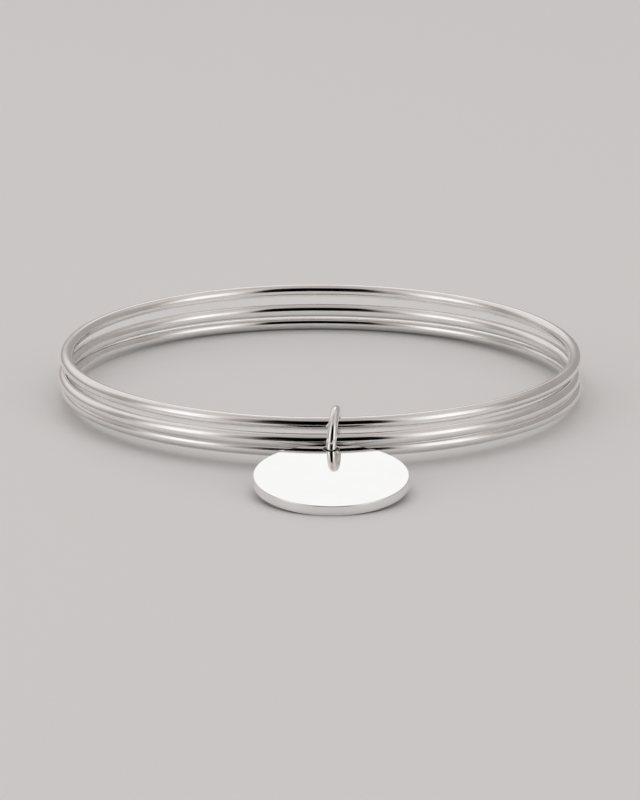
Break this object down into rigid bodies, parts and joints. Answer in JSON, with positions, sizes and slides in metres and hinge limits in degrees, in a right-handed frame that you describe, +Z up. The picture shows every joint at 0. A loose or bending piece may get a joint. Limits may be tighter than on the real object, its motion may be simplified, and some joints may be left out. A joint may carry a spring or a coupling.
{
  "type": "charm bangle",
  "caption": "Loose stack of thin round-wire bangles held together by a jump ring that carries a plain round disc charm, lying on its side.",
  "frame": {"origin": "on the surface the bangle lies on, on the upright axis of the top hoop, in the middle of the wrist opening", "axes": "+Z up, along the axis of the wrist opening; the charm lies towards -Y; +X to the right as the charm is seen from the front"},
  "size_m": [0.0663, 0.0858, 0.0076],
  "materials": {
    "bangles": "polished sterling silver",
    "jump_ring": "polished sterling silver",
    "charm_disc": "mirror-polished sterling silver"
  },
  "bodies": {
    "root": {"bangle_bottom": "bangles", "bangle_middle": "bangles", "bangle_top": "bangles", "jump_ring": "jump_ring", "charm_disc": "charm_disc"}
  },
  "joints": []
}
